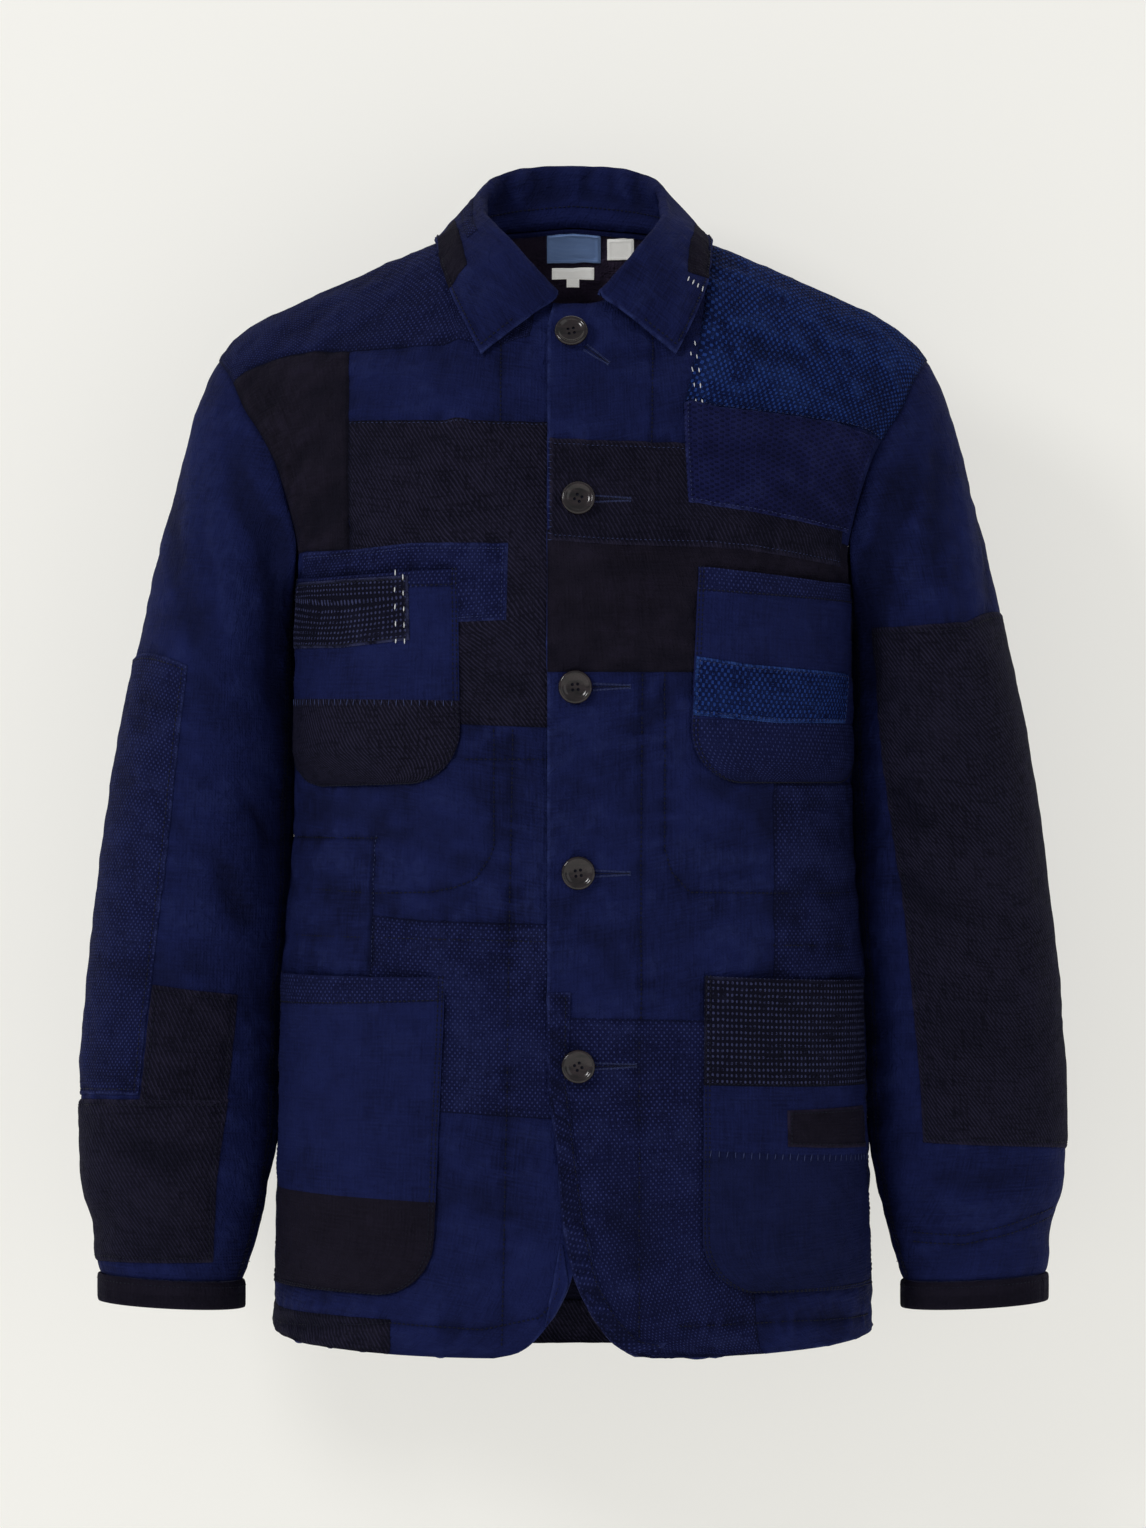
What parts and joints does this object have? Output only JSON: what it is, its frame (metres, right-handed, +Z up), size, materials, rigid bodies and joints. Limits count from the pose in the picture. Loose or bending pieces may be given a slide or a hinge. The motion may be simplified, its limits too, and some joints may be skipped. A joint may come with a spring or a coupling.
{
  "type": "patched boro jacket",
  "caption": "Worn, hollow work jacket in indigo patchwork: folded collar, patch pockets, raised patches, bound cuffs and a buttoned front with rounded lower corners.",
  "frame": {"origin": "midway between the two points where the collar lies on the shoulder seams, which is where the jacket rests on its wearer", "axes": "+Z up, -Y out of the buttoned front, +X towards the wearer's left"},
  "size_m": [0.6466, 0.2587, 0.7901],
  "materials": {
    "indigo_plain": "matt plain weave, washed indigo",
    "indigo_dotted": "matt indigo with rows of small light stitches",
    "indigo_bright": "matt bright indigo, ribbed",
    "indigo_dark_twill": "matt near-black indigo twill",
    "indigo_rice": "matt indigo with short light stitches",
    "indigo_ribbed": "matt violet-blue, stitched in ribs",
    "lining_dark": "matt dark plain weave",
    "horn_brown": "dark brown, polished",
    "label_slate": "woven, slate blue",
    "label_white": "woven, off-white"
  },
  "bodies": {
    "root": {"front_left": "indigo_plain", "front_right": "indigo_plain", "back": "indigo_plain", "sleeve_left": "indigo_plain", "sleeve_right": "indigo_plain", "under_sleeve_left": "indigo_plain", "under_sleeve_right": "indigo_plain", "cuff_left": "indigo_dark_twill", "cuff_right": "indigo_dark_twill", "collar": "indigo_plain", "edge_band": "indigo_dotted", "pocket_chest_left": "indigo_plain", "pocket_chest_right": "indigo_plain", "pocket_hip_left": "indigo_plain", "pocket_hip_right": "indigo_plain", "patch_ribbed_left": "indigo_ribbed", "patch_band_left": "indigo_dark_twill", "patch_dotted_right": "indigo_dotted", "patch_sleeve_left": "indigo_dark_twill", "patch_sleeve_right_long": "indigo_dotted", "patch_sleeve_right_low": "indigo_dark_twill", "patch_pocket_strip": "indigo_bright", "patch_pocket_rice": "indigo_rice", "patch_hip_rice": "indigo_rice", "lining_neck": "lining_dark", "hem_facing": "indigo_dark_twill", "label_main": "label_slate", "label_side": "label_white", "label_low": "label_white", "button_1": "horn_brown", "button_2": "horn_brown", "button_3": "horn_brown", "button_4": "horn_brown", "button_5": "horn_brown"}
  },
  "joints": []
}
